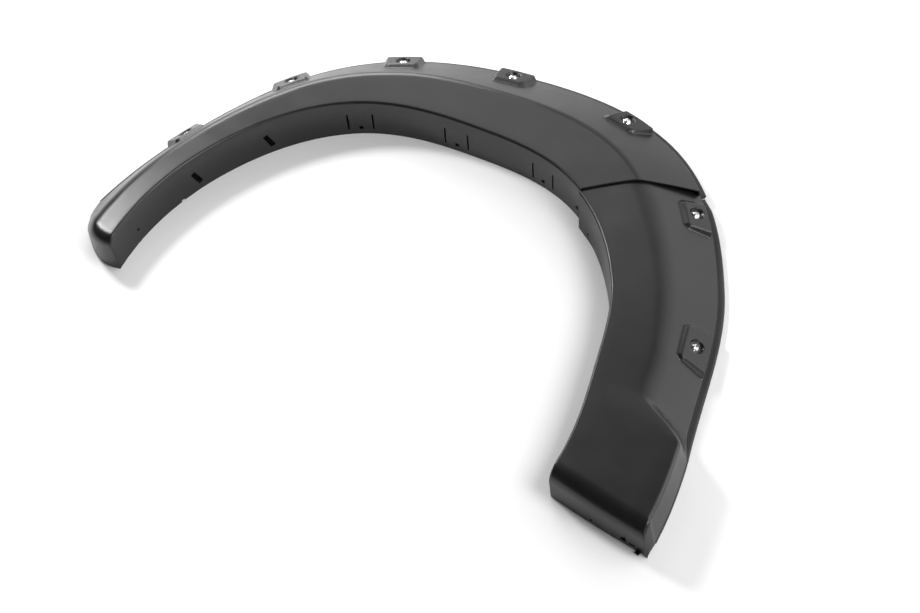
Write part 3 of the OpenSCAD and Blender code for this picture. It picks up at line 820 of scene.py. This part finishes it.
def front_panel():
    front_edge_a = FRONT_END_A - FRONT_SWEEP_A
    tongue = arc_a(TONGUE_L, lip_r(SEAM_A))
    coarse = [(SEAM_A - tongue, SEAM_A + SEAM_SLANT_A - tongue, FAR, -1, 1)]
    for a in FRONT_PADS:
        coarse += pad_rings(a, front_slant(a))
    coarse.append(roll_start(FRONT_END_A, front_edge_a, 1, FRONT_END_R, 1))
    rings = between(coarse) + roll_rings(FRONT_END_A, front_edge_a, 1)
    piece = shell("front_arch_moulding", rings, [0] * len(rings), True, 1, FRONT_END_R)
    combine(piece, gathered("tongue", tongue_cuts()), "DIFFERENCE")
    combine(piece, gathered("cups", pad_cups(FRONT_PADS, True)), "UNION")
    combine(piece, gathered("seam_tab", [(seam_tab(), at_seam_screw())]), "UNION")
    combine(piece, gathered("foot_tab", [(foot_tab(), at_foot(FOOT_TAB_U, 0))]), "UNION")
    seats, bores = pad_cuts(FRONT_PADS, True)
    combine(piece, gathered("seats", seats), "DIFFERENCE")
    deep = 3 * PANEL_T
    cuts = bores + [
        (hole(FIX_HOLE_D, deep), at_wall(*FRONT_FIX, front_lean(FRONT_FIX[0]))),
        (hole(SEAM_SCREW_D + THREAD_CLEAR, deep), at_seam_screw()),
        (hole(FIX_HOLE_D, deep), at_foot(FOOT_HOLE_U, FOOT_CUT_Z))]
    for u in FOOT_SLOTS_U:
        cuts.append((slot_block(*FOOT_SLOT_SIZE, deep), at_foot(u, FOOT_CUT_Z)))
    combine(piece, gathered("cuts", cuts), "DIFFERENCE")
    return finish_piece(piece, ["front_arch_panel"], plastic)


# Seals

def seal_profile(out):
    """A flat strip with a round bead outside and a grip behind the rim."""
    grip, top = -PANEL_T - GRIP_GAP, SEAL_H + GRIP_H
    bead = []
    for k in range(BEAD_STEPS + 1):
        t = math.radians(-90 + 180 * k / BEAD_STEPS)
        bead.append((out - BEAD_W + BEAD_W * math.cos(t), BEAD_RISE + BEAD_RISE * math.sin(t)))
    return ([(-SEAL_IN, 0)] + bead
            + [(1, SEAL_H - 0.5), (0.4, SEAL_H), (grip, SEAL_H), (grip, top),
               (grip - GRIP_W, top), (grip - GRIP_W, SEAL_H), (-SEAL_IN, SEAL_H)])


def seal_reach(a):
    flare = eased((a - FLARE_A[0]) / (FLARE_A[1] - FLARE_A[0]))
    return SEAL_OUT + (FOOT_SEAL_OUT - SEAL_OUT) * flare


def seal(name, node, low, high, taper):
    m = len(seal_profile(SEAL_OUT))
    n = math.ceil(math.radians(high - low) * SEAL_MEAN_R / SEAL_STEP)
    points = []
    for i in range(n + 1):
        a = low + (high - low) * i / n
        out = seal_reach(a) - taper * (1 - eased((a - low) / TAPER_A))
        points += [place(a, face_w(a) + u, z) for u, z in seal_profile(out)]
    faces = [(i * m + j, (i + 1) * m + j, (i + 1) * m + (j + 1) % m, i * m + (j + 1) % m)
             for i in range(n) for j in range(m)]
    faces += [tuple(range(m)), tuple(reversed(range(n * m, n * m + m)))]
    piece = mesh_object(name, points, faces)
    return finish_piece(piece, [node], rubber)


def edge_arc_a(length, a):
    return arc_a(length, lip_r(a) + face_w(a))


def seals():
    rear_edge = REAR_END_A + REAR_SWEEP_A
    start = roll_start(REAR_END_A, rear_edge, -1, REAR_END_R, REAR_BOW)[1]
    seal("main_seal_strip", "main_edge_seal", start,
         SEAM_EDGE_A - edge_arc_a(1, SEAM_EDGE_A), 0)
    front_edge = FRONT_END_A - FRONT_SWEEP_A
    end = roll_start(FRONT_END_A, front_edge, 1, FRONT_END_R, 1)[1]
    seal("front_seal_strip", "front_edge_seal",
         SEAM_EDGE_A + edge_arc_a(SEAL_GAP, SEAM_EDGE_A), end, SEAL_TAPER)


# Fasteners

def dome_profile(d, h):
    sphere_r = (d * d / 4 + h * h) / (2 * h)
    steps = 10
    rows = [(d / 2 - 0.25, 0), (d / 2, 0.25)]
    for k in range(1, steps):
        z = 0.4 + (h - 0.4) * k / steps
        rows.append((math.sqrt(max(0.01, sphere_r ** 2 - (z - h + sphere_r) ** 2)), z))
    return rows + [(0.6, h)]


def dome_screws(name, node, places, sizes, material):
    """Dome heads with a hexagon socket and a threaded shank."""
    d, length, head_d, head_h, socket_af = sizes
    head = lathe(dome_profile(head_d, head_h), 48)
    piece = gathered(name, [(head, at) for at in places])
    corner = socket_af / math.sqrt(3)
    socket = lathe([(corner, head_h * 0.42), (corner, head_h - 0.5),
                    (corner + 0.9, head_h + 0.3)], 6)
    combine(piece, gathered("sockets", [(socket, at) for at in places]), "DIFFERENCE")
    pitch = 1.25 * d / 8
    shank = [(d / 2, 0.2)]
    z = -1.5 * pitch
    while z > -length + pitch:
        shank += [(d / 2, z + 0.1), (d / 2 - 0.45 * pitch, z - 0.4 * pitch),
                  (d / 2, z - 0.8 * pitch)]
        z -= pitch
    shank += [(d / 2 - 0.4, -length)]
    thread = lathe(list(reversed(shank)), 24)
    combine(piece, gathered("threads", [(thread, at) for at in places]), "UNION")
    return finish_piece(piece, [node], material)


def washers(name, node, places):
    r, bore = WASHER_D / 2, (SCREW_D + THREAD_CLEAR) / 2
    loop = [(bore, 0.15), (bore + 0.15, 0), (r - 0.2, 0), (r, 0.2), (r, WASHER_T - 0.2),
            (r - 0.2, WASHER_T), (bore + 0.15, WASHER_T), (bore, WASHER_T - 0.15)]
    loop.reverse()
    piece = gathered(name, [(tube(loop), at) for at in places])
    return finish_piece(piece, [node], stainless)


def nuts(name, node, places, af, bore_d, h):
    corner = af / math.sqrt(3)
    hexagon = lathe([(corner, 0), (corner, h)], 6)
    piece = gathered(name, [(hexagon, at) for at in places])
    crown = lathe([(af / 2 - 0.2, -0.01), (corner, 0.14 * af), (corner, h - 0.14 * af),
                   (af / 2 - 0.2, h + 0.01)], 48)
    combine(piece, gathered("crowns", [(crown, at) for at in places]), "INTERSECT")
    bore = lathe([(bore_d / 2 + 0.8, -0.8), (bore_d / 2, 0.6), (bore_d / 2, h - 0.6),
                  (bore_d / 2 + 0.8, h + 0.8)], 32)
    combine(piece, gathered("bores", [(bore, at) for at in places]), "DIFFERENCE")
    return finish_piece(piece, [node], zinc)


def fasteners():
    floor = Matrix.Translation((0, 0, -RECESS_DEPTH))
    under_washer = Matrix.Translation((0, 0, -RECESS_DEPTH - PANEL_T - WASHER_T))
    under_nut = Matrix.Translation((0, 0, -RECESS_DEPTH - PANEL_T - WASHER_T - NUT_H))
    length = PANEL_T + WASHER_T + NUT_H + SCREW_TAIL
    for side, pads, front in (("main", MAIN_PADS, False), ("front", FRONT_PADS, True)):
        at = [at_pad(a, front) for a in pads]
        dome_screws(side + "_dome_screws", side + "_face_screws", [m @ floor for m in at],
                    (SCREW_D, length, HEAD_D, HEAD_H, SOCKET_AF), stainless)
        washers(side + "_plain_washers", side + "_washers", [m @ under_washer for m in at])
        nuts(side + "_hex_nuts", side + "_nuts", [m @ under_nut for m in at],
             NUT_AF, SCREW_D + THREAD_CLEAR, NUT_H)
    head_at = at_seam_screw() @ Matrix.Translation((0, 0, SEAM_HEAD_OUT))
    dome_screws("seam_dome_screw", "seam_screw", [head_at],
                (SEAM_SCREW_D, SEAM_SCREW_L, SEAM_HEAD_D, SEAM_HEAD_H, SEAM_SOCKET_AF),
                black_zinc)
    nut_at = at_seam_screw() @ Matrix.Translation((0, 0, -SEAM_NUT_IN))
    nuts("seam_hex_nut", "seam_nut", [nut_at],
         SEAM_NUT_AF, SEAM_SCREW_D + THREAD_CLEAR, SEAM_NUT_H)


# Stage, light and camera

FLOOR_HALF = 9000
FLOOR_BELOW = 0.5


def floor_material():
    material = bpy.data.materials.new("studio_floor")
    material.use_nodes = True
    shader = material.node_tree.nodes["Principled BSDF"]
    shader.inputs["Base Color"].default_value = (0.95, 0.95, 0.95, 1)
    shader.inputs["Roughness"].default_value = 0.9
    shader.inputs["Specular IOR Level"].default_value = 0
    return material


def stage():
    points = [Vector((x * FLOOR_HALF, y * FLOOR_HALF, -FLOOR_BELOW)) for x, y in
              ((-1, -1), (1, -1), (1, 1), (-1, 1))]
    floor = mesh_object("studio_floor", points, [(0, 1, 2, 3)])
    floor.data.materials.append(floor_material())


def softbox(name, position, aim, size, power):
    data = bpy.data.lights.new(name, "AREA")
    data.shape = "RECTANGLE"
    data.size, data.size_y = size
    data.energy = power
    lamp = bpy.data.objects.new(name, data)
    lamp.location = position
    lamp.rotation_euler = (Vector(aim) - Vector(position)).to_track_quat("-Z", "Y").to_euler()
    bpy.context.scene.collection.objects.link(lamp)


# The world's brightest direction, the cosine at which it starts to fade in, and its range
WORLD_TOWARD = Vector((0.6, 0.75, 0.05))
WORLD_FADE_FROM = 0.2
WORLD_DARK = 0.05
WORLD_BRIGHT = 1.8


def world():
    """A dark room that grows bright toward the back and right, low down."""
    scene_world = bpy.data.worlds.new("studio")
    bpy.context.scene.world = scene_world
    scene_world.use_nodes = True
    nodes, links = scene_world.node_tree.nodes, scene_world.node_tree.links
    where = nodes.new("ShaderNodeTexCoord")
    toward = nodes.new("ShaderNodeVectorMath")
    toward.operation = "DOT_PRODUCT"
    toward.inputs[1].default_value = WORLD_TOWARD.normalized()
    links.new(where.outputs["Generated"], toward.inputs[0])
    fade = nodes.new("ShaderNodeMapRange")
    fade.interpolation_type = "SMOOTHSTEP"
    fade.inputs["From Min"].default_value = WORLD_FADE_FROM
    fade.inputs["To Min"].default_value = WORLD_DARK
    fade.inputs["To Max"].default_value = WORLD_BRIGHT
    links.new(toward.outputs["Value"], fade.inputs["Value"])
    links.new(fade.outputs["Result"], nodes["Background"].inputs["Strength"])
    nodes["Background"].inputs["Color"].default_value = (1, 1, 1, 1)


CAMERA_AT = Vector((2202.2, -2634.0, 4619.4))
CAMERA_RIGHT = Vector((0.86509, 0.49208, -0.09731))
CAMERA_UP = Vector((-0.34911, 0.72995, 0.58763))
CAMERA_LENS = 135.82


def camera():
    data = bpy.data.cameras.new("camera")
    data.lens = CAMERA_LENS
    data.clip_end = 100
    view = bpy.data.objects.new("camera", data)
    back = CAMERA_RIGHT.cross(CAMERA_UP)
    turn = Matrix((CAMERA_RIGHT, CAMERA_UP, back)).transposed().to_4x4()
    view.matrix_world = Matrix.Translation(CAMERA_AT * MM) @ turn
    bpy.context.scene.collection.objects.link(view)
    bpy.context.scene.camera = view


main_panel()
front_panel()
seals()
fasteners()
stage()
world()
# Lamps, in metres and watts: place, what they aim at, size and power
softbox("rear_softbox", (-1.65, 0.6, 1.5), (-0.55, -0.1, 0), (0.4, 0.4), 34)
softbox("far_softbox", (-1.3, 2.6, 3.0), (0, 0, 0), (1.4, 1.2), 14)
softbox("back_softbox", (-1.7, 2.0, 0.8), (-0.3, 0.3, 0), (1.4, 0.6), 32)
softbox("right_softbox", (2.4, 1.4, 0.4), (0.65, 0, 0), (0.8, 0.5), 5)
softbox("front_softbox", (2.3, -2.4, 1.1), (0.5, -0.1, 0), (2, 1.2), 18)
softbox("over_softbox", (3.2, 0.2, 3.6), (0, 0, 0), (2, 2), 105)
camera()
bpy.context.scene.view_settings.view_transform = "Standard"
